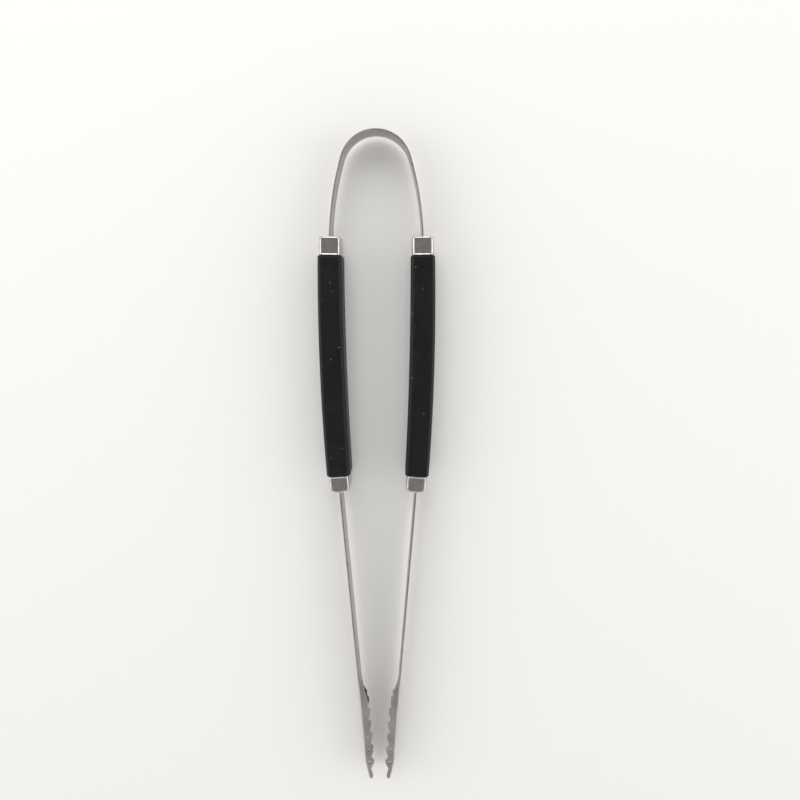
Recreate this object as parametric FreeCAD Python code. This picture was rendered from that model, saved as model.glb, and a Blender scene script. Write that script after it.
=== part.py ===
import FreeCAD, Part
import math
import os

# Spring loaded grill tongs, lying flat on their grips.
# X is the closing direction, Y runs along the tongs (spring bow at +Y, jaws at -Y), Z is up.
# The origin is on the supporting surface, in the middle of the length and between the arms.
# Every sub-part of the right side is modelled, and the left side is its mirror image.

V = FreeCAD.Vector

# ---------------------------------------------------------------- driving dimensions, mm
overall_length = 395.0
strip_width = 13.0            # across the strip, along Z
strip_thickness = 1.2
grip_depth = 18.0             # along Z, and so twice the height of the mid plane
mid_z = grip_depth / 2

# The strip's centre line is a chain of tangent arcs. An angle is the direction of the outward
# normal, measured from +X, so 90 degrees is the crown and 0 is where the strip runs along Y.
crown_radius = 19.1
crown_angle = 90.0
shoulder_angle = 17.1
leg_radius = 161.0
ferrule_angle = 1.22
grip_radius = 1645.0
arm_angle = -4.39
jaw_angle = -3.75
tip_angle = -11.5

# Stations along Y
bow_end_y = 96.0              # end of the bow's leg, inside the grip
tang_top_y = 124.0            # top of the arm's tang, lapped on the bow's leg
joggle_top_y = 93.5
joggle_bottom_y = 86.0
rivet_ys = {"upper": 117.5, "lower": 103.0}
grip_top_y = 132.0
grip_bottom_y = 7.0
ferrule_length = 10.3
ferrule_spigot_length = 8.2
flange_start_y = -127.5
jaw_start_y = -154.0
tip_start_y = -184.5

# Lap joint and rivets
lap_gap = 0.2                 # between the bow's leg and the tang
rivet_radius = 2.0
rivet_head_radius = 3.4
rivet_head_height = 1.1
rivet_bow_clearance = 0.1
rivet_tang_clearance = 0.03

# Grip: two moulded half shells that meet on the strip's centre line
grip_width_top = 13.3
grip_width_middle = 14.1
grip_width_bottom = 13.8
grip_edge_radius = 2.4
grip_wall = 2.2
parting_gap = 0.03            # each half stands back from the parting surface
strip_clearance = 0.1         # around a strip held by the shells
rib_thickness = 1.6
rib_ys = [121.0, 110.0, 98.5, 84.0, 66.0, 48.0, 30.0]
cavity_top_y = 129.0
cavity_bottom_y = 11.0

# Ferrules: drawn steel cups over the ends of the shells
ferrule_width = 11.6
ferrule_depth = 16.2
ferrule_wall = 0.6
ferrule_edge_radius = 1.9
ferrule_end_radius = 1.1
ferrule_dome_radius = 13.5    # the lower cups end in a shallow dome
ferrule_fit = 0.05
ferrule_slot_clearance = 0.3

# Jaws: a channel with two scalloped flanges. Depths are measured from the web's outer face.
flange_lead_length = 15.0
flange_lead_depth = 5.0
scallop_count = 5
scallop_pitch = 9.1
scallop_first_y = -146.4      # where the first lobe starts to rise
scallop_crest_depth = 5.8
scallop_valley_depth = 4.3
scallop_lobe_share = 0.57     # share of the pitch taken by the lobe
tip_lobe_depth = 2.9
tip_corner_radius = 1.2       # of the tip seen along X

os.makedirs("parts", exist_ok=True)


# ---------------------------------------------------------------- centre line of the strip
def polar(centre, radius, angle):
    """Point at a radius and an angle in degrees from a centre, in the XY plane."""
    turn = math.radians(angle)
    return V(centre.x + radius * math.cos(turn), centre.y + radius * math.sin(turn), 0)


def next_centre(centre, radius, angle, next_radius):
    """Centre of the arc of next_radius that leaves this arc tangentially at an angle."""
    return polar(centre, radius - next_radius, angle)


crown_centre = V(0, overall_length / 2 - crown_radius - strip_thickness / 2, 0)
leg_centre = next_centre(crown_centre, crown_radius, shoulder_angle, leg_radius)
grip_centre = next_centre(leg_centre, leg_radius, ferrule_angle, grip_radius)
arm_start = polar(grip_centre, grip_radius, arm_angle)


def normal(angle):
    return V(math.cos(math.radians(angle)), math.sin(math.radians(angle)), 0)


def down(angle):
    """Direction of travel towards the tips where the outward normal has this angle."""
    return V(math.sin(math.radians(angle)), -math.cos(math.radians(angle)), 0)


def run_to_y(start, angle, y):
    """Point at height y on the straight run that leaves start towards the tips."""
    direction = down(angle)
    return start + direction * ((y - start.y) / direction.y)


jaw_start = run_to_y(arm_start, arm_angle, jaw_start_y)
tip_start = run_to_y(jaw_start, jaw_angle, tip_start_y)
tip_end = run_to_y(tip_start, tip_angle, -overall_length / 2)


def grip_angle_at(y):
    return math.degrees(math.asin((y - grip_centre.y) / grip_radius))


def grip_point(y, offset=0.0):
    """Point of the grip arc at height y, moved outward by offset along the normal."""
    return polar(grip_centre, grip_radius + offset, grip_angle_at(y))


# ---------------------------------------------------------------- flat shapes and solids
def arc_edge(centre, radius, start_angle, end_angle):
    middle = (start_angle + end_angle) / 2
    return Part.Arc(polar(centre, radius, start_angle), polar(centre, radius, middle),
                    polar(centre, radius, end_angle)).toShape()


def line_edge(start, end):
    return Part.makeLine(start, end)


def plate(edges, low_z, high_z):
    """Solid between two heights over the closed outline made of these edges."""
    face = Part.Face(Part.Wire(Part.__sortEdges__(edges)))
    solid = face.extrude(V(0, 0, high_z - low_z))
    solid.translate(V(0, 0, low_z))
    return solid


def ribbon(arcs, thickness, width, offset=0.0):
    """Strip along a chain of tangent arcs (centre, radius, start angle, end angle)."""
    sides = []
    ends = []
    for side in (0.5, -0.5):
        shift = offset + side * thickness
        sides += [arc_edge(c, r + shift, a0, a1) for c, r, a0, a1 in arcs]
        first = arcs[0]
        last = arcs[-1]
        ends.append((polar(first[0], first[1] + shift, first[2]),
                     polar(last[0], last[1] + shift, last[3])))
    caps = [line_edge(ends[0][0], ends[1][0]), line_edge(ends[0][1], ends[1][1])]
    return plate(sides + caps, mid_z - width / 2, mid_z + width / 2)


def mirrored(shape):
    return shape.mirror(V(0, 0, 0), V(1, 0, 0))


def rounded_box(width, length, depth, edge_radius):
    """Box centred on the origin in X and Z, from Y = 0 to length, its edges along Y rounded."""
    box = Part.makeBox(width, length, depth, V(-width / 2, 0, -depth / 2))
    edges = [e for e in box.Edges if abs(e.tangentAt(e.FirstParameter).y) > 0.99]
    return box.makeFillet(edge_radius, edges)


def placed(shape, y):
    """Move a shape from its own axes to the grip arc at height y, turned to the arc."""
    turned = shape.copy()
    turned.rotate(V(0, 0, 0), V(0, 0, 1), grip_angle_at(y))
    turned.translate(grip_point(y) + V(0, 0, mid_z))
    return turned


# ---------------------------------------------------------------- spring bow
def leg_arcs(end_y):
    """The right half of the bow, from the crown to the end of its leg."""
    return [(crown_centre, crown_radius, crown_angle, shoulder_angle),
            (leg_centre, leg_radius, shoulder_angle, ferrule_angle),
            (grip_centre, grip_radius, ferrule_angle, grip_angle_at(end_y))]


def cross_hole(y, radius):
    """Cylinder along the strip's normal through the lap joint at height y."""
    direction = normal(grip_angle_at(y))
    start = grip_point(y, -grip_width_middle / 2) + V(0, 0, mid_z)
    return Part.makeCylinder(radius, grip_width_middle, start, direction)


def spring_bow():
    half = ribbon(leg_arcs(bow_end_y), strip_thickness, strip_width)
    for y in rivet_ys.values():
        half = half.cut(cross_hole(y, rivet_radius + rivet_bow_clearance))
    return half.fuse(mirrored(half)).removeSplitter()


# ---------------------------------------------------------------- arm with its jaw
lap_offset = -(strip_thickness + lap_gap)


def arm_outline(thickness, top_y):
    """Edges of the arm's strip seen along Z, from the top of its tang to the tip."""
    edges = []
    tops = []
    tips = []
    for side in (0.5, -0.5):
        shift = side * thickness
        lap = grip_radius + lap_offset + shift
        edges.append(arc_edge(grip_centre, lap, grip_angle_at(top_y), grip_angle_at(joggle_top_y)))
        edges.append(line_edge(polar(grip_centre, lap, grip_angle_at(joggle_top_y)),
                               grip_point(joggle_bottom_y, shift)))
        edges.append(arc_edge(grip_centre, grip_radius + shift,
                              grip_angle_at(joggle_bottom_y), arm_angle))
        bends = [arm_start, jaw_start, tip_start, tip_end]
        normals = [arm_angle, (arm_angle + jaw_angle) / 2, (jaw_angle + tip_angle) / 2, tip_angle]
        points = [p + normal(a) * shift for p, a in zip(bends, normals)]
        edges += [line_edge(a, b) for a, b in zip(points, points[1:])]
        tops.append(polar(grip_centre, lap, grip_angle_at(top_y)))
        tips.append(points[-1])
    edges.append(line_edge(*tops))
    edges.append(line_edge(*tips))
    return edges


def web_point(y, depth):
    """Point of a jaw at height y, at a depth inward from the web's outer face."""
    if y > jaw_start_y:
        start, angle = arm_start, arm_angle
    elif y > tip_start_y:
        start, angle = jaw_start, jaw_angle
    else:
        start, angle = tip_start, tip_angle
    return run_to_y(start, angle, y) + normal(angle) * (strip_thickness / 2 - depth)


def scalloped_edge():
    """Free edge of a flange: a straight lead-in, lobes with hollows between, and a tip lobe."""
    half_depth = (scallop_crest_depth + scallop_valley_depth) / 2
    lobe = scallop_pitch * scallop_lobe_share
    lead = web_point(flange_start_y, strip_thickness)
    lead_end = web_point(flange_start_y - flange_lead_length, flange_lead_depth)
    first = web_point(scallop_first_y, half_depth)
    edges = [line_edge(lead, lead_end), line_edge(lead_end, first)]
    for i in range(scallop_count):
        y = scallop_first_y - i * scallop_pitch
        rise = web_point(y, half_depth)
        crest = web_point(y - lobe / 2, scallop_crest_depth)
        fall = web_point(y - lobe, half_depth)
        edges.append(Part.Arc(rise, crest, fall).toShape())
        if i < scallop_count - 1:
            hollow = web_point(y - (lobe + scallop_pitch) / 2, scallop_valley_depth)
            rise_again = web_point(y - scallop_pitch, half_depth)
            edges.append(Part.Arc(fall, hollow, rise_again).toShape())
    tip_hollow = web_point(tip_start_y - 6.0, tip_lobe_depth)
    tip_corner = web_point(-overall_length / 2 + 2.2, tip_lobe_depth)
    edges.append(line_edge(fall, tip_hollow))
    edges.append(line_edge(tip_hollow, tip_corner))
    edges.append(Part.Arc(tip_corner, web_point(-overall_length / 2 + 0.5, tip_lobe_depth * 0.8),
                          web_point(-overall_length / 2, strip_thickness)).toShape())
    return edges


def jaw_flange(low_z):
    """One scalloped flange, standing inward from the web's inner face."""
    web = [web_point(flange_start_y, strip_thickness)]
    web.append(jaw_start + normal((arm_angle + jaw_angle) / 2) * (-strip_thickness / 2))
    web.append(tip_start + normal((jaw_angle + tip_angle) / 2) * (-strip_thickness / 2))
    web.append(web_point(-overall_length / 2, strip_thickness))
    edges = [line_edge(a, b) for a, b in zip(web, web[1:])]
    return plate(edges + scalloped_edge(), low_z, low_z + strip_thickness)


def rounded_at_the_tip(shape):
    """The jaw with the two corners of its tip rounded, seen along X."""
    start = -overall_length / 2 - strip_thickness
    box = Part.makeBox(overall_length, 2 * overall_length, strip_width,
                       V(0, start, mid_z - strip_width / 2))
    corners = [e for e in box.Edges if e.BoundBox.YMax < start + 0.01
               and abs(e.tangentAt(e.FirstParameter).x) > 0.99]
    box = box.makeFillet(tip_corner_radius + strip_thickness, corners)
    return shape.common(box)


def arm():
    strip = plate(arm_outline(strip_thickness, tang_top_y),
                  mid_z - strip_width / 2, mid_z + strip_width / 2)
    shape = strip
    for low_z in (mid_z - strip_width / 2, mid_z + strip_width / 2 - strip_thickness):
        shape = shape.fuse(jaw_flange(low_z))
    shape = rounded_at_the_tip(shape.removeSplitter())
    for y in rivet_ys.values():
        shape = shape.cut(cross_hole(y, rivet_radius + rivet_tang_clearance))
    return shape


# ---------------------------------------------------------------- rivets through the lap joint
def dome_arc(face, way):
    """Domed side of a rivet head from its rim to its apex; X is the rivet's axis."""
    radius = (rivet_head_radius ** 2 + rivet_head_height ** 2) / (2 * rivet_head_height)
    centre = face + way * (rivet_head_height - radius)
    half = math.asin(rivet_head_radius / radius) / 2
    rim = V(face, rivet_head_radius, 0)
    middle = V(centre + way * radius * math.cos(half), radius * math.sin(half), 0)
    apex = V(face + way * rivet_head_height, 0, 0)
    return Part.Arc(rim, middle, apex).toShape()


def lap_rivet(y):
    """Shank with a domed head on each side of the bow's leg and the tang."""
    outer = strip_thickness / 2 + rivet_bow_clearance
    inner = lap_offset - strip_thickness / 2 - rivet_tang_clearance
    corners = [V(outer, rivet_head_radius, 0), V(outer, rivet_radius, 0),
               V(inner, rivet_radius, 0), V(inner, rivet_head_radius, 0)]
    edges = [line_edge(a, b) for a, b in zip(corners, corners[1:])]
    edges += [dome_arc(outer, 1), dome_arc(inner, -1)]
    edges.append(line_edge(V(inner - rivet_head_height, 0, 0), V(outer + rivet_head_height, 0, 0)))
    profile = Part.Face(Part.Wire(Part.__sortEdges__(edges)))
    return placed(profile.revolve(V(0, 0, 0), V(1, 0, 0), 360), y)


# ---------------------------------------------------------------- grip shells
def grip_side(width_top, width_middle, width_bottom, side, top_y, bottom_y):
    """Arc along one side of the grip through its half widths at the ends and the middle."""
    middle_y = (top_y + bottom_y) / 2
    return Part.Arc(grip_point(top_y, side * width_top / 2), grip_point(middle_y, side * width_middle / 2),
                    grip_point(bottom_y, side * width_bottom / 2)).toShape()


def grip_block(inset, top_y, bottom_y):
    """Grip outline, set in from its surface by inset, between two heights."""
    widths = [w - 2 * inset for w in (grip_width_top, grip_width_middle, grip_width_bottom)]
    sides = [grip_side(*widths, side, top_y, bottom_y) for side in (1, -1)]
    caps = [line_edge(grip_point(top_y, widths[0] / 2), grip_point(top_y, -widths[0] / 2)),
            line_edge(grip_point(bottom_y, widths[2] / 2), grip_point(bottom_y, -widths[2] / 2))]
    return plate(sides + caps, inset, grip_depth - inset)


def long_edges(shape):
    """Edges that run along the grip at its corners."""
    return [e for e in shape.Edges if e.Length > 50]


def spigot(y, way):
    """End of the shells inside a ferrule, standing out of the grip along Y."""
    width = ferrule_width - 2 * (ferrule_wall + ferrule_fit)
    depth = ferrule_depth - 2 * (ferrule_wall + ferrule_fit)
    shape = rounded_box(width, ferrule_spigot_length + grip_wall, depth,
                        ferrule_edge_radius - ferrule_wall)
    shape.translate(V(0, -grip_wall, 0))
    if way < 0:
        shape.rotate(V(0, 0, 0), V(0, 0, 1), 180)
    return placed(shape, y)


def strip_space():
    """Room for the bow's leg, the tang and the arm between the two shells."""
    width = strip_width + 2 * strip_clearance
    leg = ribbon(leg_arcs(bow_end_y - 1), strip_thickness + 2 * lap_gap, width + 2 * lap_gap)
    arm_room = plate(arm_outline(strip_thickness + 2 * strip_clearance, tang_top_y + 1),
                     mid_z - width / 2, mid_z + width / 2)
    return leg.fuse(arm_room)


def side_block(side):
    """Everything on the outer (1) or inner (-1) side of the parting surface."""
    reach = 30.0
    low_angle = grip_angle_at(grip_bottom_y - 20)
    high_angle = grip_angle_at(grip_top_y + 20)
    near = grip_radius + side * parting_gap
    far = grip_radius + side * reach
    edges = [arc_edge(grip_centre, near, low_angle, high_angle),
             arc_edge(grip_centre, far, low_angle, high_angle),
             line_edge(polar(grip_centre, near, low_angle), polar(grip_centre, far, low_angle)),
             line_edge(polar(grip_centre, near, high_angle), polar(grip_centre, far, high_angle))]
    return plate(edges, -1, grip_depth + 1)


def grip_shells():
    """Outer and inner half shell of one grip."""
    block = grip_block(0, grip_top_y, grip_bottom_y)
    block = block.makeFillet(grip_edge_radius, long_edges(block))
    block = block.fuse(spigot(grip_top_y, 1)).fuse(spigot(grip_bottom_y, -1)).removeSplitter()
    cavity = grip_block(grip_wall, cavity_top_y, cavity_bottom_y)
    for y in rib_ys:
        rib = Part.makeBox(60, rib_thickness, grip_depth, V(0, y - rib_thickness / 2, 0))
        cavity = cavity.cut(rib)
    hollow = block.cut(cavity).cut(strip_space())
    for y in rivet_ys.values():
        hollow = hollow.cut(cross_hole(y, rivet_head_radius + strip_clearance).common(
            grip_block(grip_wall, cavity_top_y, cavity_bottom_y)))
    return hollow.common(side_block(1)), hollow.common(side_block(-1))


# ---------------------------------------------------------------- ferrules
def ferrule_cup(domed):
    """Cup with its mouth at Y = 0 and a slotted end at Y = ferrule_length."""
    outside = rounded_box(ferrule_width, ferrule_length, ferrule_depth, ferrule_edge_radius)
    if domed:
        dome = Part.makeCylinder(ferrule_dome_radius, ferrule_depth,
                                 V(0, ferrule_length - ferrule_dome_radius, -ferrule_depth / 2))
        room = Part.makeBox(ferrule_width, ferrule_length, ferrule_depth,
                            V(-ferrule_width / 2, -ferrule_length / 2, -ferrule_depth / 2))
        outside = outside.common(dome.fuse(room)).removeSplitter()
    rim = [e for e in outside.Edges if e.BoundBox.YMin > ferrule_length / 2 + 0.01
           and e.BoundBox.YMax - e.BoundBox.YMin < 3]
    outside = outside.makeFillet(ferrule_end_radius, rim)
    pocket = rounded_box(ferrule_width - 2 * ferrule_wall, ferrule_length,
                         ferrule_depth - 2 * ferrule_wall, ferrule_edge_radius - ferrule_wall)
    pocket.translate(V(0, -ferrule_length + ferrule_spigot_length + ferrule_fit, 0))
    slot_thickness = strip_thickness + 2 * ferrule_slot_clearance
    slot_width = strip_width + 2 * ferrule_slot_clearance
    slot = Part.makeBox(slot_thickness, 2 * ferrule_length, slot_width,
                        V(-slot_thickness / 2, 0, -slot_width / 2))
    return outside.cut(pocket).cut(slot)


def ferrule(y, way):
    cup = ferrule_cup(domed=way < 0)
    if way < 0:
        cup.rotate(V(0, 0, 0), V(0, 0, 1), 180)
    return placed(cup, y)


# ---------------------------------------------------------------- the whole assembly
def right_side():
    outer_shell, inner_shell = grip_shells()
    parts = {"arm": arm(), "grip_outer_shell": outer_shell, "grip_inner_shell": inner_shell,
             "upper_ferrule": ferrule(grip_top_y, 1), "lower_ferrule": ferrule(grip_bottom_y, -1)}
    for place, y in rivet_ys.items():
        parts[place + "_lap_rivet"] = lap_rivet(y)
    return parts


nodes = {"spring_bow": spring_bow()}
for name, shape in right_side().items():
    nodes["right_" + name] = shape
    nodes["left_" + name] = mirrored(shape)

for name, shape in nodes.items():
    if len(shape.Solids) == 1:
        shape = shape.Solids[0]
    shape.exportStep("parts/" + name + ".step")
    print(name, "solids", len(shape.Solids), "valid", shape.isValid(), "volume %.1f" % shape.Volume)
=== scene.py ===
"""Looks of a pair of long grill tongs with a spring bow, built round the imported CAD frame.

Sizes are in metres in the frame of the CAD: X is the closing direction, Y runs along the tongs with
the spring bow at +Y, and Z is up, across the strip. The right side is worked out and the left is its
mirror image. Every piece is a grid of points: stations along the piece, and a closed loop of points
round its section at every station.
"""
import logging
from dataclasses import dataclass
from enum import Enum
from functools import cached_property

import bpy
import numpy as np
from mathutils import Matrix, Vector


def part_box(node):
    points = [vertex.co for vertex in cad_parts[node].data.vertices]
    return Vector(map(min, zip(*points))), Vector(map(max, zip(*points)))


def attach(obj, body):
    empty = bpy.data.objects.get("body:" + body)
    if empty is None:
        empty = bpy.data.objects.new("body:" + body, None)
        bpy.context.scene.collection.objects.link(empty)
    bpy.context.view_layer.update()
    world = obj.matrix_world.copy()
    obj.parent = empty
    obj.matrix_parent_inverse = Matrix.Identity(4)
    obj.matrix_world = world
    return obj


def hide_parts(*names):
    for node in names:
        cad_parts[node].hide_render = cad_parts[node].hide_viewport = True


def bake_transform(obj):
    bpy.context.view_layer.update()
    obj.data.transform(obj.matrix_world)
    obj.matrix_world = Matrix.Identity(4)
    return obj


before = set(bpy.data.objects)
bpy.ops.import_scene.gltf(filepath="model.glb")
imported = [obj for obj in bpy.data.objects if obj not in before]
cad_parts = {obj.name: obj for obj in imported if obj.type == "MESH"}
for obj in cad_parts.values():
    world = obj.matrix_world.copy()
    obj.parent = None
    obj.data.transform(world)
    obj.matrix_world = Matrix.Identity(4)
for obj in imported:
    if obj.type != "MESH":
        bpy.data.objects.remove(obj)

MM = 0.001
GRIP_TOP_Y = 132 * MM              # where the grips' skin ends and the upper ferrules start
GRIP_BOTTOM_Y = 7.0 * MM           # the same at the lower ferrules
TIP_MARGIN = 0.12 * MM             # kept clear of the end of the CAD arm
SHARP_ANGLE = 38.0                 # degrees between faces from which an edge is drawn sharp
LOG = logging.getLogger("tongs")
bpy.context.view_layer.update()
Array = np.ndarray


class Side(Enum):
    """Side of the tongs, and the sign of its X."""

    RIGHT = 1
    LEFT = -1

    @property
    def label(self) -> str:
        """Word that starts the names of this side's pieces."""
        return self.name.lower()

    @property
    def body(self) -> str:
        """CAD body that this side's rigid pieces ride on."""
        return f"{self.label}_arm"


class Half(Enum):
    """Half shell of a grip: the outer one faces away from the other arm."""

    OUTER = 1
    INNER = -1


class End(Enum):
    """End of a grip, and the direction in which its ferrule points along Y."""

    UPPER = 1
    LOWER = -1


# ------------------------------------------------------------------------------- small mathematics
def eased(t: Array) -> Array:
    """Smooth step: 0 below 0, 1 above 1, and three t squared less two t cubed between."""
    t = np.clip(t, 0.0, 1.0)
    return t * t * (3 - 2 * t)


def between(a: Array, b: Array, count: int) -> Array:
    """Evenly spaced values from a to b for every station.

    Args:
        a: First values, one row for each station.
        b: Last values, shaped as a.
        count: Number of columns.

    Returns:
        Array of stations by count.
    """
    return a + (b - a) * np.linspace(0.0, 1.0, count)


def column(values: Array, like: Array) -> Array:
    """A number or a list of station values as a column with one row for each station."""
    return np.broadcast_to(np.asarray(values, float).reshape(-1, 1), (len(like), 1))


def rounded_rectangle(half_x: Array, half_z: Array, radius: Array,
                      per_corner: int = 7, per_side: int = 9) -> tuple[Array, Array]:
    """Loop of a rectangle with rounded corners, for all stations at once.

    Each quarter is a circular arc about its corner's centre, followed by even steps along the
    straight side to the start of the next arc.

    Args:
        half_x: Half widths, one row for each station.
        half_z: Half heights, likewise.
        radius: Corner radii, likewise.
        per_corner: Points on each corner's arc.
        per_side: Points between two arcs.

    Returns:
        The loop's x and z, as arrays of stations by points.
    """
    turn = np.linspace(0.0, np.pi / 2, per_corner)
    step = np.linspace(0.0, 1.0, per_side + 2)[1:-1]
    signs = np.array([(1, 1), (-1, 1), (-1, -1), (1, -1)])
    arcs = []
    for quarter, (sx, sz) in enumerate(signs):
        angle = turn + quarter * np.pi / 2
        arcs.append((sx * (half_x - radius) + radius * np.cos(angle),
                     sz * (half_z - radius) + radius * np.sin(angle)))
    xs, zs = [], []
    for (x, z), (next_x, next_z) in zip(arcs, arcs[1:] + arcs[:1]):
        xs += [x, x[:, -1:] + (next_x[:, :1] - x[:, -1:]) * step]
        zs += [z, z[:, -1:] + (next_z[:, :1] - z[:, -1:]) * step]
    return np.hstack(xs), np.hstack(zs)


# ------------------------------------------------------------------------------------ mesh building
def lofted(name: str, points: Array, ring: bool = False,
           along: Array | None = None) -> bpy.types.Object:
    """Makes a closed object from a grid of section loops.

    Neighbouring points of neighbouring loops make quads. The loops close on themselves, and the
    piece is closed either by joining its last loop to its first or by a fan on each end loop. The
    faces are turned over if the volume that they enclose comes out negative. The UV map holds the
    distance along the piece and the distance round its section, in metres.

    Args:
        name: Object name.
        points: Grid of stations by loop points by 3, in metres.
        ring: Join the last loop to the first in place of the end fans.
        along: Distance along the piece of each station; worked out from the first points if absent.

    Returns:
        The new object, linked to the scene.
    """
    stations, count = points.shape[:2]
    rows = stations if ring else stations - 1
    i, j = np.meshgrid(np.arange(rows), np.arange(count), indexing="ij")
    i_next, j_next = (i + 1) % stations, (j + 1) % count
    quads = np.stack([i * count + j, i_next * count + j,
                      i_next * count + j_next, i * count + j_next], -1)
    faces = quads.reshape(-1, 4)
    if along is None:
        steps = np.linalg.norm(np.diff(points[:, 0], axis=0), axis=1)
        along = np.concatenate([[0.0], np.cumsum(steps)])
    middle = points[stations // 2]
    loop = np.linalg.norm(np.roll(middle, -1, axis=0) - middle, axis=1)
    round_section = np.concatenate([[0.0], np.cumsum(loop)])
    last = np.append(along, along[-1] + (along[-1] - along[-2]))
    uv = np.stack([np.stack([last[i], round_section[j]], -1),
                   np.stack([last[i + 1], round_section[j]], -1),
                   np.stack([last[i + 1], round_section[j + 1]], -1),
                   np.stack([last[i], round_section[j + 1]], -1)], 2).reshape(-1, 4, 2)
    vertices = points.reshape(-1, 3)
    a, b, c, d = (vertices[faces[:, corner]] for corner in range(4))
    volume = (np.cross(b - a, c - a) * a).sum() + (np.cross(c - a, d - a) * a).sum()
    polygons, loop_uv = faces.tolist(), [uv.reshape(-1, 2)]
    if not ring:
        middles = points[[0, -1]].mean(axis=1)
        edge, edge_next = np.arange(count), (np.arange(count) + 1) % count
        top = np.stack([edge, edge_next, np.full(count, len(vertices))], -1)
        tail = (stations - 1) * count
        bottom = np.stack([tail + edge_next, tail + edge, np.full(count, len(vertices) + 1)], -1)
        vertices = np.vstack([vertices, middles])
        polygons += top.tolist() + bottom.tolist()
        loop_uv.append(np.tile([[along[0], 0.0]], (3 * count, 1)))
        loop_uv.append(np.tile([[along[-1], 0.0]], (3 * count, 1)))
    mesh = bpy.data.meshes.new(name)
    mesh.from_pydata(vertices.tolist(), [], polygons)
    layer = mesh.uv_layers.new(name="strip")
    layer.data.foreach_set("uv", np.vstack(loop_uv).astype(np.float32).ravel())
    if volume < 0:
        mesh.flip_normals()
    mesh.shade_smooth()
    mesh.set_sharp_from_angle(angle=np.radians(SHARP_ANGLE))
    mesh.validate()
    piece = bpy.data.objects.new(name, mesh)
    bpy.context.scene.collection.objects.link(piece)
    return piece


def dressed(piece: bpy.types.Object, material: bpy.types.Material) -> bpy.types.Object:
    """Gives a piece its material and logs its name, face count and material."""
    piece.data.materials.clear()
    piece.data.materials.append(material)
    LOG.info("%s: %d faces, %s", piece.name, len(piece.data.polygons), material.name)
    return piece


# ---------------------------------------------------------------------------------------- materials
def linear(hex_colour: str) -> tuple[float, float, float, float]:
    """Linear colour with full alpha from an sRGB hex value such as 96938f.

    Each channel below 0.04045 is divided by 12.92, and above it is raised by the sRGB power curve.
    """
    channels = np.array([int(hex_colour[i:i + 2], 16) for i in (0, 2, 4)]) / 255.0
    values = np.where(channels <= 0.04045, channels / 12.92, ((channels + 0.055) / 1.055) ** 2.4)
    return (*values.tolist(), 1.0)


def add_node(tree: bpy.types.NodeTree, kind: str, inputs: dict | None = None,
             **settings) -> bpy.types.Node:
    """Adds a shader node, with its settings, its input values and its links.

    Args:
        tree: Node tree to add to.
        kind: Blender's name of the node type, without the leading ShaderNode.
        inputs: Input name or number to a value, or to a (node, output) pair that is linked.
        settings: Attributes of the node.

    Returns:
        The node.
    """
    node = tree.nodes.new(f"ShaderNode{kind}")
    for key, value in settings.items():
        setattr(node, key, value)
    for key, value in (inputs or {}).items():
        if isinstance(value, tuple) and isinstance(value[0], bpy.types.Node):
            tree.links.new(value[0].outputs[value[1]], node.inputs[key])
        else:
            node.inputs[key].default_value = value
    return node


def new_material(name: str) -> tuple[bpy.types.Material, bpy.types.NodeTree, bpy.types.Node]:
    """An empty node material: the material, its tree and its Principled shader, linked to the output."""
    material = bpy.data.materials.new(name)
    material.use_nodes = True
    tree = material.node_tree
    tree.nodes.clear()
    shader = add_node(tree, "BsdfPrincipled")
    add_node(tree, "OutputMaterial", {"Surface": (shader, "BSDF")})
    return material, tree, shader


@dataclass(frozen=True)
class BrushedStainless:
    """Brushed 18/0 stainless strip: rolled, then ground lengthwise with a fine belt.

    The eye gets a grey, slightly warm metal with a soft gloss that is drawn out across the strip,
    fine scratches along it, and faint cloudy marks from handling.
    """

    name: str = "brushed_stainless_strip"
    colour: str = "b3afab"
    dull_colour: str = "9d9996"
    roughness: float = 0.30
    scratch_length: float = 16 * MM
    scratch_pitch: float = 0.22 * MM     # the real 0.05 mm would not show
    cloud_size: float = 9 * MM

    def material(self) -> bpy.types.Material:
        """Builds the material: stretched noise along the UV map for the scratches, soft noise for clouds."""
        material, tree, shader = new_material(self.name)
        place = add_node(tree, "TexCoord")
        grain = add_node(tree, "Mapping", {"Vector": (place, "UV"),
                                           "Scale": (1 / self.scratch_length, 1 / self.scratch_pitch, 1.0)})
        scratches = add_node(tree, "TexNoise", {"Vector": (grain, "Vector"), "Scale": 1.0, "Detail": 4.0,
                                                "Roughness": 0.65})
        clouds = add_node(tree, "TexNoise", {"Vector": (place, "Object"), "Scale": 1 / self.cloud_size,
                                             "Detail": 3.0})
        tone = add_node(tree, "Math", {0: (scratches, "Fac"), 1: (clouds, "Fac")}, operation="MULTIPLY")
        spread = add_node(tree, "MapRange", {"Value": (tone, "Value"), "From Min": 0.12, "From Max": 0.42})
        colour = add_node(tree, "Mix", {"Factor": (spread, "Result"), 6: linear(self.dull_colour),
                                        7: linear(self.colour)}, data_type="RGBA")
        gloss = add_node(tree, "MapRange", {"Value": (clouds, "Fac"), "From Min": 0.3, "From Max": 0.7,
                                            "To Min": self.roughness - 0.05, "To Max": self.roughness + 0.08})
        relief = add_node(tree, "Bump", {"Height": (scratches, "Fac"), "Strength": 0.18,
                                         "Distance": 0.05 * MM})
        tree.links.new(colour.outputs[2], shader.inputs["Base Color"])
        tree.links.new(gloss.outputs["Result"], shader.inputs["Roughness"])
        tree.links.new(relief.outputs["Normal"], shader.inputs["Normal"])
        shader.inputs["Metallic"].default_value = 1.0
        return material


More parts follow.
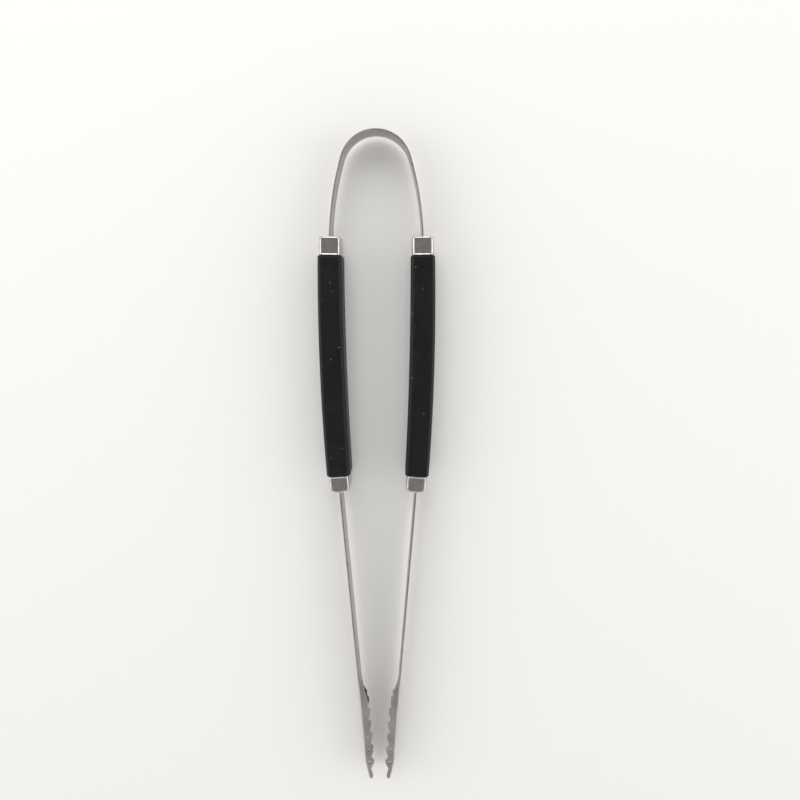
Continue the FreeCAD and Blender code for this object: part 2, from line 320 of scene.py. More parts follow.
@dataclass(frozen=True)
class DrawnStainless:
    """Deep drawn and tumbled stainless cup, as on the ferrules.

    The eye gets a brighter metal than the strip, near mirror gloss on the rounded edges, and soft
    smudges with a few hairlines on the flat faces.
    """

    name: str = "tumbled_stainless_cup"
    colour: str = "c2beba"
    smudge_colour: str = "a8a4a0"
    roughness: float = 0.16
    smudge_size: float = 3.5 * MM
    hairline_pitch: float = 0.35 * MM
    hairline_length: float = 6 * MM

    def material(self) -> bpy.types.Material:
        """Builds the material: soft noise for smudges, stretched noise along Y for hairlines."""
        material, tree, shader = new_material(self.name)
        place = add_node(tree, "TexCoord")
        smudges = add_node(tree, "TexNoise", {"Vector": (place, "Object"), "Scale": 1 / self.smudge_size,
                                              "Detail": 4.0, "Roughness": 0.6})
        lines = add_node(tree, "Mapping", {
            "Vector": (place, "Object"),
            "Scale": (1 / self.hairline_pitch, 1 / self.hairline_length, 1 / self.hairline_pitch)})
        hairlines = add_node(tree, "TexNoise", {"Vector": (lines, "Vector"), "Scale": 1.0, "Detail": 2.0})
        spread = add_node(tree, "MapRange", {"Value": (smudges, "Fac"), "From Min": 0.35, "From Max": 0.65})
        colour = add_node(tree, "Mix", {"Factor": (spread, "Result"), 6: linear(self.colour),
                                        7: linear(self.smudge_colour)}, data_type="RGBA")
        gloss = add_node(tree, "MapRange", {"Value": (smudges, "Fac"), "From Min": 0.3, "From Max": 0.7,
                                            "To Min": self.roughness, "To Max": self.roughness + 0.14})
        relief = add_node(tree, "Bump", {"Height": (hairlines, "Fac"), "Strength": 0.08,
                                         "Distance": 0.05 * MM})
        tree.links.new(colour.outputs[2], shader.inputs["Base Color"])
        tree.links.new(gloss.outputs["Result"], shader.inputs["Roughness"])
        tree.links.new(relief.outputs["Normal"], shader.inputs["Normal"])
        shader.inputs["Metallic"].default_value = 1.0
        return material


@dataclass(frozen=True)
class MouldedPolypropylene:
    """Black polypropylene, injection moulded in a spark-eroded tool.

    The eye gets a near-black with a trace of blue, a broad soft sheen, a fine even texture, and the
    specks of lint and chalky scuffs that such a surface picks up.
    """

    name: str = "moulded_black_polypropylene"
    colour: str = "0a090e"
    worn_colour: str = "131218"
    lint_colour: str = "8d8882"
    roughness: float = 0.46
    specular: float = 0.27
    texture_grain: float = 0.30 * MM     # the real 0.1 mm grain would not show
    scuff_size: float = 7 * MM
    lint_spacing: float = 5.0 * MM
    lint_size: float = 0.36 * MM

    def material(self) -> bpy.types.Material:
        """Builds the material: fine noise for the texture, cell distance for lint, soft noise for scuffs."""
        material, tree, shader = new_material(self.name)
        place = add_node(tree, "TexCoord")
        grain = add_node(tree, "TexNoise", {"Vector": (place, "Object"), "Scale": 1 / self.texture_grain,
                                            "Detail": 2.0})
        scuffs = add_node(tree, "TexNoise", {"Vector": (place, "Object"), "Scale": 1 / self.scuff_size,
                                             "Detail": 5.0, "Roughness": 0.65})
        cells = add_node(tree, "TexVoronoi", {"Vector": (place, "Object"), "Scale": 1 / self.lint_spacing})
        reach = self.lint_size / self.lint_spacing
        lint = add_node(tree, "MapRange", {"Value": (cells, "Distance"), "From Min": reach,
                                           "From Max": reach * 0.5})
        worn = add_node(tree, "MapRange", {"Value": (scuffs, "Fac"), "From Min": 0.50, "From Max": 0.72})
        skin = add_node(tree, "Mix", {"Factor": (worn, "Result"), 6: linear(self.colour),
                                      7: linear(self.worn_colour)}, data_type="RGBA")
        colour = add_node(tree, "Mix", {"Factor": (lint, "Result"), 6: (skin, 2),
                                        7: linear(self.lint_colour)}, data_type="RGBA")
        gloss = add_node(tree, "MapRange", {"Value": (scuffs, "Fac"), "From Min": 0.3, "From Max": 0.7,
                                            "To Min": self.roughness - 0.05, "To Max": self.roughness + 0.10})
        relief = add_node(tree, "Bump", {"Height": (grain, "Fac"), "Strength": 0.35,
                                         "Distance": 0.06 * MM})
        tree.links.new(colour.outputs[2], shader.inputs["Base Color"])
        tree.links.new(gloss.outputs["Result"], shader.inputs["Roughness"])
        tree.links.new(relief.outputs["Normal"], shader.inputs["Normal"])
        shader.inputs["Specular IOR Level"].default_value = self.specular
        return material


@dataclass(frozen=True)
class PlainSteel:
    """Zinc-flashed mild steel wire, upset into rivets: a dull grey with a mottled plating."""

    name: str = "upset_steel_rivet"
    colour: str = "a9a9a6"
    dark_colour: str = "7f7f7c"
    roughness: float = 0.38
    mottle_size: float = 1.2 * MM

    def material(self) -> bpy.types.Material:
        """Builds the material: one noise for both the plating's colour and its relief."""
        material, tree, shader = new_material(self.name)
        place = add_node(tree, "TexCoord")
        mottle = add_node(tree, "TexNoise", {"Vector": (place, "Object"), "Scale": 1 / self.mottle_size,
                                             "Detail": 4.0})
        colour = add_node(tree, "Mix", {"Factor": (mottle, "Fac"), 6: linear(self.dark_colour),
                                        7: linear(self.colour)}, data_type="RGBA")
        relief = add_node(tree, "Bump", {"Height": (mottle, "Fac"), "Strength": 0.2,
                                         "Distance": 0.05 * MM})
        tree.links.new(colour.outputs[2], shader.inputs["Base Color"])
        tree.links.new(relief.outputs["Normal"], shader.inputs["Normal"])
        shader.inputs["Metallic"].default_value = 1.0
        shader.inputs["Roughness"].default_value = self.roughness
        return material


# ----------------------------------------------------------------------------- the strip's own line
@dataclass(frozen=True)
class StripLine:
    """Centre line of the right half of the strip, seen along Z, from the crown to the tip.

    The outward normal's angle from +X starts at 90 degrees on the crown. It falls evenly with the
    distance along each arc, and stays the same on the straight runs. The position is the running sum
    of short steps in the direction of travel, which is at right angles to the normal.
    """

    crown_top: float
    tip_y: float
    mid_z: float
    thickness: float = 1.2 * MM
    crown_radius: float = 19.1 * MM
    leg_radius: float = 161 * MM
    grip_radius: float = 1645 * MM
    shoulder_angle: float = 17.1
    ferrule_angle: float = 1.22
    arm_angle: float = -4.39
    jaw_angle: float = -3.75
    tip_angle: float = -11.5
    jaw_start_y: float = -154 * MM
    tip_start_y: float = -184.5 * MM
    bend_length: float = 3 * MM
    step: float = 0.1 * MM

    @cached_property
    def table(self) -> tuple[Array, Array, Array, Array]:
        """Distance from the crown, x, y and normal angle in radians at closely spaced points."""
        angles = np.radians([90.0, self.shoulder_angle, self.ferrule_angle, self.arm_angle])
        radii = np.array([self.crown_radius, self.leg_radius, self.grip_radius])
        lengths = radii * -np.diff(angles)
        start_y = self.crown_top - self.thickness / 2 - self.crown_radius
        arm_y = start_y + self.crown_radius * np.sin(angles[1])
        arm_y -= (radii[1:] * -np.diff(np.sin(angles[1:]))).sum()
        jaw, tip = np.radians([self.jaw_angle, self.tip_angle])
        arm_run = (arm_y - self.jaw_start_y) / np.cos(angles[3])
        jaw_run = (self.jaw_start_y - self.tip_start_y) / np.cos(jaw)
        tip_run = (self.tip_start_y - self.tip_y) / np.cos(tip)
        bends = np.cumsum(np.append(lengths, [arm_run, jaw_run, tip_run]))
        half = self.bend_length / 2
        knots = np.concatenate([[0.0], bends[:3], [bends[3] - half, bends[3] + half,
                                                   bends[4] - half, bends[4] + half, bends[5]]])
        turns = np.concatenate([angles, [angles[3], jaw, jaw, tip, tip]])
        s = np.arange(0.0, bends[5] + self.step, self.step)
        angle = np.interp(s, knots, turns)
        middle = (angle[1:] + angle[:-1]) / 2
        x = np.concatenate([[0.0], np.cumsum(np.sin(middle))]) * self.step
        y = self.crown_top - self.thickness / 2
        y = y - np.concatenate([[0.0], np.cumsum(np.cos(middle))]) * self.step
        return s, x, y, angle

    def distance_at(self, y: Array | float) -> Array:
        """Distance from the crown at which the line reaches the height y."""
        s, _, line_y, _ = self.table
        return np.interp(-np.asarray(y, float), -line_y, s)

    def point(self, s: Array) -> tuple[Array, Array, Array]:
        """x, y and normal angle at the distances s, as columns."""
        table_s, x, y, angle = self.table
        s = np.asarray(s, float).reshape(-1, 1)
        return np.interp(s, table_s, x), np.interp(s, table_s, y), np.interp(s, table_s, angle)

    def sweep(self, s: Array, outward: Array, across: Array, side: Side,
              forward: Array | float = 0.0) -> Array:
        """Carries section loops along the line.

        A point lies at the line's point, moved outward along the normal, forward along the direction
        of travel towards the tip, and up or down from the mid plane. The left side has its x negated.

        Args:
            s: Distances from the crown, one for each station.
            outward: Section coordinate along the outward normal, stations by points.
            across: Section coordinate along Z, likewise.
            side: Side of the tongs.
            forward: Shift towards the tip, a number or likewise.

        Returns:
            Grid of stations by points by 3.
        """
        x, y, angle = self.point(s)
        px = x + outward * np.cos(angle) + forward * np.sin(angle)
        py = y + outward * np.sin(angle) - forward * np.cos(angle)
        pz = self.mid_z + across + 0 * px
        return np.stack([side.value * px, py, pz], -1)


# --------------------------------------------------------------------------------------- spring bow
@dataclass(frozen=True)
class SpringBow:
    """Half of the spring bow: a flat strip from the crown to the end of its leg inside the grip."""

    line: StripLine
    width: float
    leg_end_y: float
    edge_radius: float = 0.35 * MM
    station_gap: float = 0.7 * MM

    def build(self, side: Side, material: bpy.types.Material) -> bpy.types.Object:
        """Sweeps a rounded rectangle along the line."""
        end = float(self.line.distance_at(self.leg_end_y))
        s = np.linspace(0.0, end, int(end / self.station_gap) + 1)
        outward, across = rounded_rectangle(column(self.line.thickness / 2, s), column(self.width / 2, s),
                                            column(self.edge_radius, s), per_corner=5, per_side=5)
        piece = lofted(f"{side.label}_half_of_bow", self.line.sweep(s, outward, across, side), along=s)
        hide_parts("spring_bow")
        ferrule_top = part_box(f"{side.label}_upper_ferrule")[1]
        x, y, _ = self.line.point([0.0, self.line.distance_at(ferrule_top.y)])
        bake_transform(piece)
        return dressed(piece, material)


# -------------------------------------------------------------------------------------- arm and jaw
@dataclass(frozen=True)
class Arm:
    """Arm strip: tang lapped inside the grip, flat shank, and channel jaw with scalloped flanges.

    Depths are measured inward from the web's outer face. On the shank the section is a flat strip,
    which is the channel with flanges no deeper than the strip is thick.
    """

    line: StripLine
    width: float
    tang_top_y: float
    lap_offset: float = -1.4 * MM
    joggle_top_y: float = 93.5 * MM
    joggle_bottom_y: float = 86 * MM
    flange_start_y: float = -124 * MM
    lower_flange_lag: float = 9.0 * MM
    lower_flange_shortfall: float = 1.2 * MM
    upper_lead_power: float = 0.8
    lower_lead_power: float = 1.6
    scallop_first_y: float = -146.8 * MM
    scallop_pitch: float = 9.1 * MM
    scallop_count: int = 5
    scallop_share: float = 0.55
    lobe_skew: float = 0.70
    hollow_skew: float = 1.36
    first_hollow_share: float = 0.45
    crest_depth: float = 5.8 * MM
    valley_depth: float = 4.35 * MM
    neck_depth: float = 2.75 * MM
    neck_fall: float = 5.8 * MM
    tip_depth: float = 2.95 * MM
    tip_rise: float = 1.8 * MM
    nose_length: float = 3.0 * MM
    tip_corner: float = 1.3 * MM
    edge_radius: float = 0.3 * MM
    bend_radius: float = 0.9 * MM
    inner_bend_radius: float = 0.5 * MM
    flute_depth: float = 0.3 * MM
    flute_middle: float = 2.7 * MM
    flute_half_height: float = 0.7 * MM
    flute_half_length: float = 0.75 * MM
    bend_lead: float = 10 * MM
    shortfall_lead: float = 2.0 * MM

    def stations(self) -> Array:
        """Distances from the crown: sparse on the tang and shank, dense on the jaw and the nose."""
        top = float(self.line.distance_at(self.tang_top_y))
        jaw = float(self.line.distance_at(self.flange_start_y + 3 * MM))
        end = float(self.line.distance_at(self.line.tip_y))
        nose = end - self.nose_length * 2
        fan = end - self.nose_length * 2 * (1 - np.sin(np.linspace(0.0, np.pi / 2, 20)))
        return np.concatenate([np.arange(top, jaw, 2.0 * MM), np.arange(jaw, nose, 0.28 * MM), fan])

    def flange_depth(self, y: Array, start_y: float, lead_power: float) -> Array:
        """Depth of the flange's free edge at each height.

        The lead-in rises as a power of the distance from its start, to the mean depth. Then comes a
        half hollow, and lobes with hollows between: half sines above and below the mean, whose phase
        is raised to a power so that they rise faster than they fall. From the last crest it eases
        down to the neck, and up to a low lobe at the tip.

        Args:
            y: Heights of the stations, as a column.
            start_y: Height at which the flange starts.
            lead_power: Power of the distance from the start with which the lead-in rises.

        Returns:
            Depths, likewise.
        """
        t, pitch, share = self.line.thickness, self.scallop_pitch, self.scallop_share
        mean = (self.crest_depth + self.valley_depth) / 2
        swing = (self.crest_depth - self.valley_depth) / 2
        lead_end = self.scallop_first_y + self.first_hollow_share * pitch
        lead = np.clip((start_y - y) / (start_y - lead_end), 0.0, 1.0)
        turn = (self.scallop_first_y - y) / pitch
        before = np.clip(1 + turn / self.first_hollow_share, 0.0, 1.0)
        first_hollow = 0.5 * swing * np.sin(np.pi * before ** self.hollow_skew)
        depth = t + (mean - t) * lead ** lead_power - first_hollow
        phase = turn % 1.0
        lobe = np.sin(np.pi * np.clip(phase / share, 0, 1) ** self.lobe_skew)
        hollow = np.sin(np.pi * np.clip((phase - share) / (1 - share), 0, 1) ** self.hollow_skew)
        depth = np.where(turn >= 0, mean + swing * np.where(phase < share, lobe, -hollow), depth)
        crest = share * 0.5 ** (1 / self.lobe_skew)
        past = self.scallop_first_y - (self.scallop_count - 1 + crest) * pitch - y
        fall = self.crest_depth + (self.neck_depth - self.crest_depth) * eased(past / self.neck_fall)
        rise = (self.tip_depth - self.neck_depth) * eased((past - self.neck_fall) / self.tip_rise)
        return np.where(past > 0, fall + rise, depth)

    def flutes(self, y: Array, depth: Array) -> Array:
        """How far the flange is pressed inward at points of the jaw.

        Each flute is a rounded dent under a crest, near the bend. It is the product of a bell curve
        along the jaw and one across the flange, and the flutes grow towards the tip.

        Args:
            y: Heights of the stations, as a column.
            depth: Depths of the points, stations by points.

        Returns:
            Shift of the flange towards the mid plane, shaped as depth.
        """
        turn = (self.scallop_first_y - y) / self.scallop_pitch
        number = np.floor(turn)
        offset = (turn - number - self.scallop_share * 0.4) * self.scallop_pitch
        growth = np.clip(number / (self.scallop_count - 1), 0, 1)
        growth = np.where((number >= 1) & (number < self.scallop_count), growth, 0.0)
        along = np.exp(-(offset / self.flute_half_length) ** 2)
        across = np.exp(-((depth - self.flute_middle) / self.flute_half_height) ** 2)
        return self.flute_depth * growth * along * across

    def half_section(self, y: Array, start_y: float, depth: Array) -> tuple[Array, Array]:
        """Upper half of the channel's loop, for all stations: depth from the web's face, and height.

        It runs along the web's outer face, round the bend, along the flange, over its free edge, and
        back along its inner face, the inner bend and the web's inner face. Towards the tip the half
        width shrinks on a quarter circle, and so does the depth.

        Args:
            y: Heights of the stations, as a column.
            start_y: Height at which the flange starts.
            depth: Depths of the flange's free edge, one row for each station.

        Returns:
            Depths and heights from the mid plane, as arrays of stations by points.
        """
        t, e = self.line.thickness, self.edge_radius
        above_tip = np.clip((y - self.line.tip_y) / self.tip_corner, 0.0, 1.0)
        half = self.width / 2 - self.tip_corner * (1 - np.sqrt(1 - (1 - above_tip) ** 2))
        lead = eased((start_y - y) / self.bend_lead)
        bend = e + (self.bend_radius - e) * lead
        inner_bend = np.minimum(self.inner_bend_radius, (depth - t) / 2)
        inner_edge = np.minimum(e, (depth - t) / 2)
        quarter = np.linspace(0.0, np.pi / 2, 7)
        flat, wall = 6, 14
        zero = 0 * y
        pieces = [
            (between(zero, zero, flat), between(zero, half - bend, flat)),
            (bend * (1 - np.cos(quarter)), half - bend + bend * np.sin(quarter)),
            (between(bend, depth - e, wall), between(half, half, wall)),
            (depth - e + e * np.sin(quarter), half - e + e * np.cos(quarter)),
            (depth - inner_edge + inner_edge * np.cos(quarter),
             half - t + inner_edge * (1 - np.sin(quarter))),
            (between(depth - inner_edge, t + inner_bend, wall), between(half - t, half - t, wall)),
            (t + inner_bend * (1 - np.sin(quarter)),
             half - t - inner_bend * (1 - np.cos(quarter))),
            (between(zero + t, zero + t, flat), between(half - t - inner_bend, zero, flat))]
        deep = np.hstack([p[0] for p in pieces])
        high = np.hstack([p[1] for p in pieces])
        high = high - np.where(deep > bend * 0.5, self.flutes(y, deep), 0.0)
        nose = np.clip((y - self.line.tip_y) / self.nose_length, 0.0, 1.0)
        squeeze = np.sqrt(np.clip(1 - (1 - nose) ** 2, 0.0, 1.0))
        centre = depth * 0.3
        return centre + (deep - centre) * squeeze, high

    def section(self, y: Array) -> tuple[Array, Array]:
        """Closed loops of the channel for all stations: outward position and height from the mid plane.

        The lower half is the mirror image of the upper one, but its flange starts nearer the tip, and
        is a little shallower.
        """
        lower_start = self.flange_start_y - self.lower_flange_lag
        upper_depth = self.flange_depth(y, self.flange_start_y, self.upper_lead_power)
        lower_depth = self.flange_depth(y, lower_start, self.lower_lead_power)
        lower_depth = lower_depth - self.lower_flange_shortfall * eased(
            (lower_depth - self.line.thickness) / self.shortfall_lead)
        upper_deep, upper_high = self.half_section(y, self.flange_start_y, upper_depth)
        lower_deep, lower_high = self.half_section(y, lower_start, lower_depth)
        deep = np.hstack([upper_deep, lower_deep[:, ::-1]])
        return self.line.thickness / 2 - deep, np.hstack([upper_high, -lower_high[:, ::-1]])

    def build(self, side: Side, material: bpy.types.Material) -> bpy.types.Object:
        """Sweeps the channel section along the strip's line, with the tang set in for the lap joint."""
        s = self.stations()
        y = self.line.point(s)[1]
        outward, across = self.section(y)
        joggle = eased((y - self.joggle_bottom_y) / (self.joggle_top_y - self.joggle_bottom_y))
        points = self.line.sweep(s, outward + self.lap_offset * joggle, across, side)
        piece = lofted(f"{side.label}_arm_and_jaw", points, along=s)
        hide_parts(f"{side.label}_arm")
        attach(piece, side.body)
        return dressed(piece, material)


# ------------------------------------------------------------------------------------------- grips
@dataclass(frozen=True)
class GripShell:
    """Half shell of a grip, with a spigot at each end that the ferrules close over.

    The skin is a rounded rectangle that swells gently along its length. The two halves meet in a
    fine V groove on the strip's centre line, and each is cored out around the strip and the rivets.
    """

    line: StripLine
    top_y: float
    bottom_y: float
    half_depth: float
    half_widths: tuple[float, float, float] = (6.63 * MM, 7.03 * MM, 6.88 * MM)
    corner_radius: float = 2.4 * MM
    end_radius: float = 0.7 * MM
    crown: float = 0.12 * MM
    gap: float = 0.03 * MM
    groove: float = 0.14 * MM
    groove_width: float = 0.16 * MM
    spigot_length: float = 8.2 * MM
    spigot_half: tuple[float, float, float] = (5.15 * MM, 7.45 * MM, 1.3 * MM)
    core_depth: float = 4.6 * MM
    slot_depth: float = 0.75 * MM
    core_half_height: float = 6.7 * MM
    end_wall: float = 3.5 * MM

    def half_width(self, y: Array) -> Array:
        """Half width at a height: the parabola through the widths at the top, middle and bottom."""
        t = (self.top_y - y) / (self.top_y - self.bottom_y)
        top, middle, bottom = self.half_widths
        return top * (1 - t) * (1 - 2 * t) + 4 * middle * t * (1 - t) + bottom * t * (2 * t - 1)

    def profile(self) -> tuple[Array, Array, Array]:
        """Height, inset from the skin, and share of spigot at every station, from top to bottom.

        Each end of the skin is rounded on a quarter circle, whose height and inset are the sine and
        cosine of the same angle. Beyond it the section is the spigot's.
        """
        turn = np.linspace(0.0, np.pi / 2, 8)
        round_y = self.end_radius * (1 - np.sin(turn))
        round_in = self.end_radius * (1 - np.cos(turn))
        body = np.linspace(self.top_y - self.end_radius, self.bottom_y + self.end_radius, 70)[1:-1]
        tip = np.array([self.spigot_length, self.spigot_length - 0.3 * MM, 0.3 * MM, 0.0])
        spigot_in = np.array([0.3 * MM, 0.0, 0.0, 0.0])
        y = np.concatenate([self.top_y + tip, (self.top_y - round_y)[::-1], body,
                            self.bottom_y + round_y, self.bottom_y - tip[::-1]])
        inset = np.concatenate([spigot_in, round_in[::-1], 0 * body, round_in, spigot_in[::-1]])
        spigot = np.concatenate([1 + 0 * tip, 0 * turn, 0 * body, 0 * turn, 1 + 0 * tip])
        return y, inset, spigot

    def section(self, y: Array, inset: Array, spigot: Array) -> tuple[Array, Array]:
        """Closed loops of the outer half shell: distance out from the parting plane, and height.

        The loop runs from the parting plane round the skin to the parting plane on the other side,
        and back round the core. The flat faces sink by the crown towards the corners, as the square
        of the distance from the parting plane.
        """
        y, inset, spigot = (a.reshape(-1, 1) for a in (y, inset, spigot))
        spigot_w, spigot_h, spigot_r = self.spigot_half
        w = np.where(spigot > 0, spigot_w, self.half_width(y)) - inset
        h = np.where(spigot > 0, spigot_h, self.half_depth) - inset
        r = np.where(spigot > 0, spigot_r, self.corner_radius) - 0.5 * inset
        crown = np.where(spigot > 0, 0.0, self.crown)
        groove = np.where(spigot > 0, 0.02 * MM, self.groove)
        inside = np.minimum(self.top_y - y, y - self.bottom_y)
        core = self.slot_depth + (self.core_depth - self.slot_depth) * eased(
            (inside - self.end_wall) / (1.0 * MM))
        core_h = np.minimum(self.core_half_height, h - 0.5 * MM)
        face = between(self.gap + self.groove_width + 0 * y, w - r, 10)
        drop = crown * ((face - face[:, :1]) / (w - r)) ** 2
        sink = drop[:, -1:]
        turn = np.linspace(0.0, np.pi / 2, 9)
        side_z = between(-(h - r), h - r, 9)
        corner_x = w - r + r * np.sin(turn)
        corner_z = h - r - sink + r * np.cos(turn)
        land = between(core_h, h - groove, 3)
        half_x = np.hstack([self.gap + 0 * land, face, corner_x])
        half_z = np.hstack([land, h - drop, corner_z])
        core_x = np.hstack([between(self.gap + 0 * y, core, 4), core + 0 * side_z,
                            between(core, self.gap + 0 * y, 4)])
        core_z = np.hstack([core_h + 0 * y + np.zeros(4), between(core_h, -core_h, 9),
                            -core_h + 0 * y + np.zeros(4)])
        xs = np.hstack([half_x, w + 0 * side_z, half_x[:, ::-1], core_x[:, ::-1]])
        zs = np.hstack([half_z, side_z[:, ::-1], -half_z[:, ::-1], core_z[:, ::-1]])
        return xs, zs

    def build(self, side: Side, half: Half, material: bpy.types.Material) -> bpy.types.Object:
        """Sweeps the half section along the grip; the inner half is the outer one turned inward."""
        y, inset, spigot = self.profile()
        outward, across = self.section(y, inset, spigot)
        s = self.line.distance_at(y)
        points = self.line.sweep(s, half.value * outward, across, side)
        node = f"{side.label}_grip_{half.name.lower()}_shell"
        piece = lofted(f"{side.label}_{half.name.lower()}_half_of_grip", points)
        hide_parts(node)
        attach(piece, side.body)
        return dressed(piece, material)


# ----------------------------------------------------------------------------------------- ferrules
@dataclass(frozen=True)
class Ferrule:
    """Drawn steel cup over an end of the grip, with a slot in its end for the strip.

    The wall is a rounded rectangle that swells slightly, with a rolled mouth and a rounded rim at the
    closed end. The lower cups end in a shallow dome, which is an arc across the width.
    """

    line: StripLine
    length: float = 10.3 * MM
    half_width: float = 5.8 * MM
    half_depth: float = 8.1 * MM
    corner_radius: float = 1.9 * MM
    wall: float = 0.6 * MM
    rim_radius: float = 1.15 * MM
    mouth_radius: float = 0.5 * MM
    bead: float = 0.28 * MM
    bead_width: float = 0.4 * MM
    swell: float = 0.06 * MM
    dome_radius: float = 13.5 * MM
    slot_half: tuple[float, float] = (0.9 * MM, 6.8 * MM)
    slot_corner: float = 0.4 * MM
    lip: float = 0.25 * MM

    def rings(self) -> tuple[Array, Array, Array]:
        """Height above the mouth, inset from the wall's outside, and share of slot for every ring.

        The rings start on the rounded mouth, climb the outside, turn over the rim on a quarter circle,
        cross the end to the slot, and come back down the inside.
        """
        quarter = np.linspace(0.0, np.pi / 2, 9)
        mouth = (np.append(0.0, self.mouth_radius * (1 - np.cos(quarter))),
                 np.append(self.wall, self.mouth_radius * (1 - np.sin(quarter))))
        bead_end = 4 * self.bead_width
        rise = np.concatenate([np.linspace(self.mouth_radius, bead_end, 9)[1:],
                               np.linspace(bead_end, self.length - self.rim_radius, 10)[1:-1]])
        rim = (self.length - self.rim_radius + self.rim_radius * np.sin(quarter),
               self.rim_radius * (1 - np.cos(quarter)))
        share = np.array([0.15, 0.35, 0.6, 0.8, 0.93])
        lip = self.lip * np.array([0.05, 0.35, 1.0])
        inner = np.array([1.0, 0.6, 0.25, 0.0])
        fall = np.linspace(self.length - self.wall, 0.0, 9)[1:-1]
        y = np.concatenate([mouth[0], rise, rim[0], self.length + 0 * share, self.length - lip,
                            self.length - self.wall + 0 * inner, fall])
        outside = np.append(mouth[1][1:], 0 * rise)
        outside_y = np.append(mouth[0][1:], rise)
        outside -= self.bead * np.exp(-((outside_y - self.mouth_radius) / self.bead_width) ** 2)
        inset = np.concatenate([mouth[1][:1], outside, rim[1], self.rim_radius + 0 * share,
                                self.rim_radius + 0 * lip, self.wall + 0 * inner, self.wall + 0 * fall])
        slot = np.concatenate([0 * mouth[0], 0 * rise, 0 * quarter, share, 1 + 0 * lip, inner, 0 * fall])
        return y, inset, slot

    def build(self, side: Side, end: End, mouth_y: float,
              material: bpy.types.Material) -> bpy.types.Object:
        """Makes the cup's rings, domes the end of a lower one, and carries them to the grip's end."""
        y, inset, slot = (a.reshape(-1, 1) for a in self.rings())
        swell = self.swell * np.clip(1 - (2 * y / self.length - 1) ** 2, 0, 1)
        outer_x, outer_z = rounded_rectangle(
            self.half_width + swell - inset, self.half_depth + swell - inset,
            np.maximum(self.corner_radius - inset, 0.3 * MM), per_side=11)
        slot_x, slot_z = rounded_rectangle(column(self.slot_half[0], y), column(self.slot_half[1], y),
                                           column(self.slot_corner, y), per_side=11)
        out = outer_x + (slot_x - outer_x) * slot
        across = outer_z + (slot_z - outer_z) * slot
        forward = y + 0 * out
        if end is End.LOWER:
            sag = self.dome_radius - np.sqrt(self.dome_radius ** 2 - out ** 2)
            forward = forward - sag * eased((y / self.length - 0.35) / 0.45)
        s = np.full(len(y), float(self.line.distance_at(mouth_y)))
        points = self.line.sweep(s, out, across, side, forward=-end.value * forward)
        piece = lofted(f"{side.label}_{end.name.lower()}_cup", points, ring=True,
                       along=np.arange(len(y)) * 0.5 * MM)
        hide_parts(f"{side.label}_{end.name.lower()}_ferrule")
        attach(piece, side.body)
        return dressed(piece, material)


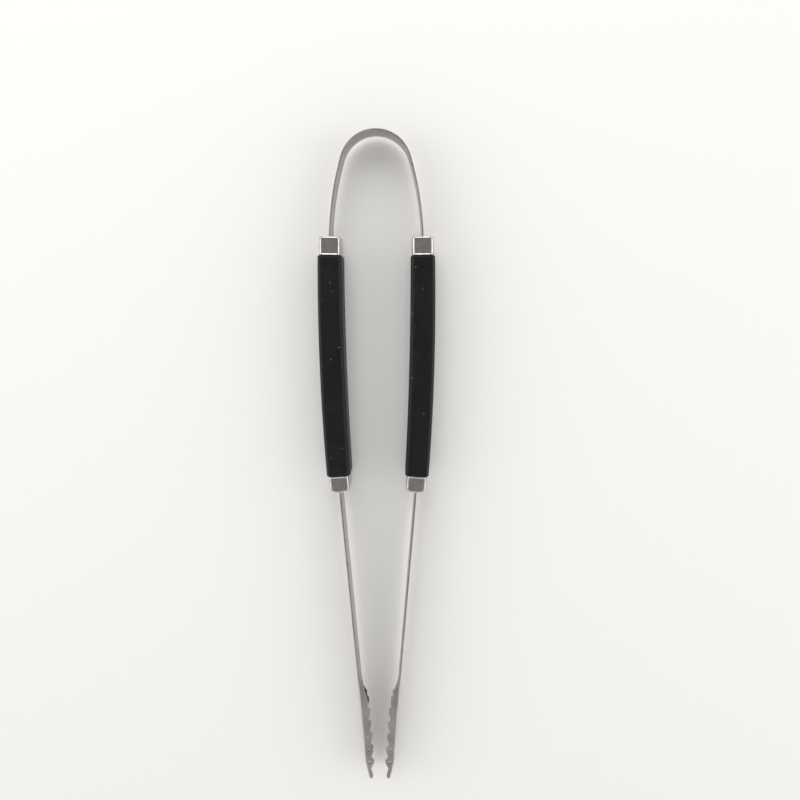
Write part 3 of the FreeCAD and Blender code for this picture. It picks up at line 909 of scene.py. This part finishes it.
# ------------------------------------------------------------------------------------------- studio
@dataclass(frozen=True)
class Studio:
    """Pale floor, soft light from the sides and a dimmer sky overhead, and the camera."""

    floor_colour: str = "f1f0ee"
    floor_size: float = 6.0
    camera_place: tuple[float, float, float] = (15.07 * MM, 110.11 * MM, 339.99 * MM)
    camera_turn: tuple[float, float, float] = (-10.165, 0.373, 0.008)
    lens: float = 26.01
    key_power: float = 3.6
    side_power: float = 1.6
    zenith: float = 0.32
    horizon: float = 1.05
    glow: float = 1.3
    sky_band: tuple[float, float] = (0.45, 0.95)
    glow_band: tuple[float, float] = (0.2, 0.45)

    def floor(self) -> None:
        """A large pale sheet under the tongs, with a trace of roughness in its colour."""
        half = self.floor_size / 2
        mesh = bpy.data.meshes.new("floor")
        corners = [(-half, -half, 0), (half, -half, 0), (half, half, 0), (-half, half, 0)]
        mesh.from_pydata(corners, [], [(0, 1, 2, 3)])
        piece = bpy.data.objects.new("floor", mesh)
        bpy.context.scene.collection.objects.link(piece)
        material, tree, shader = new_material("pale_paper_floor")
        place = add_node(tree, "TexCoord")
        fibre = add_node(tree, "TexNoise", {"Vector": (place, "Object"), "Scale": 900.0})
        relief = add_node(tree, "Bump", {"Height": (fibre, "Fac"), "Strength": 0.03, "Distance": 0.1 * MM})
        tree.links.new(relief.outputs["Normal"], shader.inputs["Normal"])
        shader.inputs["Base Color"].default_value = linear(self.floor_colour)
        shader.inputs["Roughness"].default_value = 0.8
        mesh.materials.append(material)

    def light(self, name: str, place: tuple[float, float, float], size: float, power: float) -> None:
        """A square soft box at a place, facing the middle of the tongs."""
        lamp = bpy.data.lights.new(name, "AREA")
        lamp.shape = "SQUARE"
        lamp.size = size
        lamp.energy = power
        box = bpy.data.objects.new(name, lamp)
        bpy.context.scene.collection.objects.link(box)
        box.location = place
        box.rotation_euler = (-box.location).to_track_quat("-Z", "Y").to_euler()

    def world(self) -> None:
        """A sky that is dim overhead and brighter towards the horizon, with a low glow round it.

        Both fade evenly with the height of the direction, and the glow is added to the sky.
        """
        world = bpy.data.worlds.new("soft_sky")
        world.use_nodes = True
        tree = world.node_tree
        tree.nodes.clear()
        place = add_node(tree, "TexCoord")
        axes = add_node(tree, "SeparateXYZ", {0: (place, "Generated")})
        rise = add_node(tree, "MapRange", {
            "Value": (axes, "Z"), "From Min": self.sky_band[0], "From Max": self.sky_band[1],
            "To Min": self.horizon, "To Max": self.zenith})
        low = add_node(tree, "MapRange", {
            "Value": (axes, "Z"), "From Min": self.glow_band[0], "From Max": self.glow_band[1],
            "To Min": self.glow, "To Max": 0.0})
        total = add_node(tree, "Math", {0: (rise, "Result"), 1: (low, "Result")}, operation="ADD")
        sky = add_node(tree, "Background", {"Color": linear("fdfcfa"), "Strength": (total, "Value")})
        add_node(tree, "OutputWorld", {"Surface": (sky, "Background")})
        bpy.context.scene.world = world

    def camera(self) -> None:
        """A short-lens camera over the upper part of the tongs, tilted a little towards the jaws."""
        lens = bpy.data.cameras.new("camera")
        lens.lens = self.lens
        lens.sensor_width = 36.0
        lens.clip_start = 0.01
        camera = bpy.data.objects.new("camera", lens)
        bpy.context.scene.collection.objects.link(camera)
        camera.location = self.camera_place
        camera.rotation_euler = np.radians(self.camera_turn).tolist()
        bpy.context.scene.camera = camera

    def build(self) -> None:
        """Sets up everything around the tongs, with colours shown as they are."""
        bpy.context.scene.view_settings.view_transform = "Standard"
        self.camera()
        self.world()
        self.floor()
        self.light("left_soft_box", (-0.95, 0.15, 0.45), 0.6, self.side_power)
        self.light("right_soft_box", (0.95, 0.05, 0.45), 0.6, self.side_power)
        self.light("far_soft_box", (-0.1, 1.0, 0.65), 0.6, self.key_power)


def main() -> None:
    """Builds the studio and every piece of the tongs, and logs what it makes."""
    logging.basicConfig(level=logging.INFO, format="%(name)s: %(message)s")
    Studio().build()
    low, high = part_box("spring_bow")
    tip_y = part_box("right_arm")[0].y + TIP_MARGIN
    line = StripLine(crown_top=high.y, tip_y=tip_y, mid_z=(low.z + high.z) / 2)
    width = high.z - low.z
    strip = BrushedStainless().material()
    cup = DrawnStainless().material()
    plastic = MouldedPolypropylene().material()
    rivet = PlainSteel().material()
    bow = SpringBow(line, width, leg_end_y=low.y)
    for side in Side:
        grip_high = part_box(f"{side.label}_grip_outer_shell")[1]
        bow.build(side, strip)
        Arm(line, width, tang_top_y=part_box(f"{side.label}_arm")[1].y).build(side, strip)
        shell = GripShell(line, GRIP_TOP_Y, GRIP_BOTTOM_Y, half_depth=grip_high.z / 2)
        for half in Half:
            shell.build(side, half, plastic)
        ferrule = Ferrule(line)
        ferrule.build(side, End.UPPER, GRIP_TOP_Y, cup)
        ferrule.build(side, End.LOWER, GRIP_BOTTOM_Y, cup)
        for place in ("upper", "lower"):
            dressed(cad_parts[f"{side.label}_{place}_lap_rivet"], rivet)


if __name__ == "__main__":
    main()
    bpy.context.view_layer.update()
